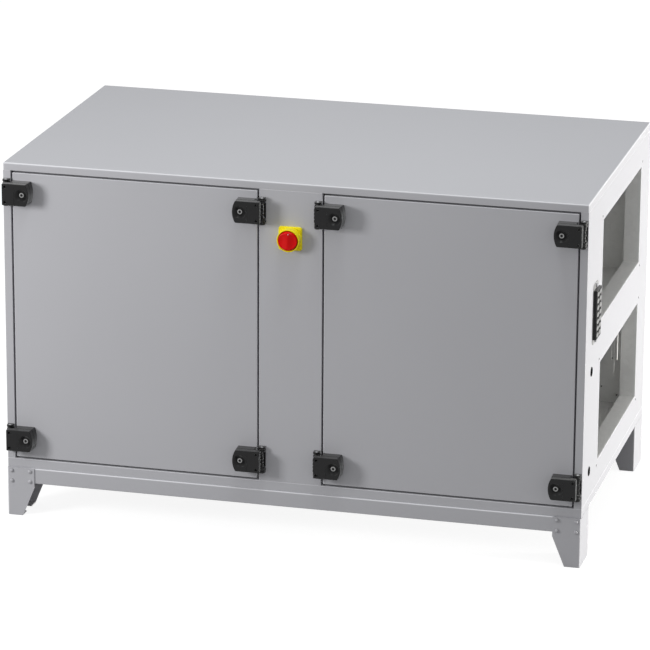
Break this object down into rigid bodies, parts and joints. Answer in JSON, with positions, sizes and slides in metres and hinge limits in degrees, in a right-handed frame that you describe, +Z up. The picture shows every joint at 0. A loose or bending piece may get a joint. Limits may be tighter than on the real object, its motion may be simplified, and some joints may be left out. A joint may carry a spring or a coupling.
{
  "type": "air handling unit",
  "caption": "Free-standing insulated ventilation casing on sheet-metal legs, with hinged service doors in front, a main switch between them and rectangular duct openings in both ends.",
  "frame": {"origin": "centre of the base of the overall box, on the floor under the feet", "axes": "+X along the width towards the end with the cable entries, +Y towards the rear, +Z up; the doors face -Y"},
  "size_m": [1.512, 0.896, 0.937],
  "materials": {
    "casing_paint": "silver grey coil coating, satin",
    "zinc_sheet": "galvanised sheet",
    "black_plastic": "moulded, fine grain",
    "bright_steel": "zinc plated",
    "door_seal": "foam rubber",
    "switch_yellow": "moulded",
    "switch_red": "moulded"
  },
  "bodies": {
    "casing": {"top_panel": "casing_paint", "floor_panel": "casing_paint", "left_end_panel": "casing_paint", "right_end_panel": "casing_paint", "rear_left_panel": "casing_paint", "rear_right_panel": "casing_paint", "middle_panel": "casing_paint", "mid_deck": "zinc_sheet", "front_base_rail": "casing_paint", "rear_base_rail": "casing_paint", "front_left_leg": "casing_paint", "front_right_leg": "casing_paint", "rear_left_leg": "casing_paint", "rear_right_leg": "casing_paint", "cable_entry_plate": "black_plastic", "switch_plate": "switch_yellow", "left_hinge_brackets": "black_plastic", "left_catch_brackets": "black_plastic", "right_hinge_brackets": "black_plastic", "right_catch_brackets": "black_plastic", "left_hinge_pins": "bright_steel", "left_catch_pins": "bright_steel", "right_hinge_pins": "bright_steel", "right_catch_pins": "bright_steel"},
    "left_door": {"left_door_leaf": "casing_paint", "left_door_core": "zinc_sheet", "left_door_gasket": "door_seal", "left_hinge_covers": "black_plastic", "left_catch_covers": "black_plastic", "left_door_locks": "bright_steel"},
    "right_door": {"right_door_leaf": "casing_paint", "right_door_core": "zinc_sheet", "right_door_gasket": "door_seal", "right_hinge_covers": "black_plastic", "right_catch_covers": "black_plastic", "right_door_locks": "bright_steel"},
    "knob": {"switch_knob": "switch_red"}
  },
  "joints": [
    {"name": "left_door_swing", "type": "hinge", "parent": "casing", "child": "left_door", "pos_m": [-0.7455, -0.4167, 0.535], "axis": [0, 0, -1], "range_deg": [0, 110]},
    {"name": "right_door_swing", "type": "hinge", "parent": "casing", "child": "right_door", "pos_m": [0.7335, -0.4167, 0.535], "axis": [0, 0, 1], "range_deg": [0, 110]},
    {"name": "switch_turn", "type": "hinge", "parent": "casing", "child": "knob", "pos_m": [-0.006, -0.408, 0.796], "axis": [0, 1, 0], "range_deg": [0, 90]}
  ]
}
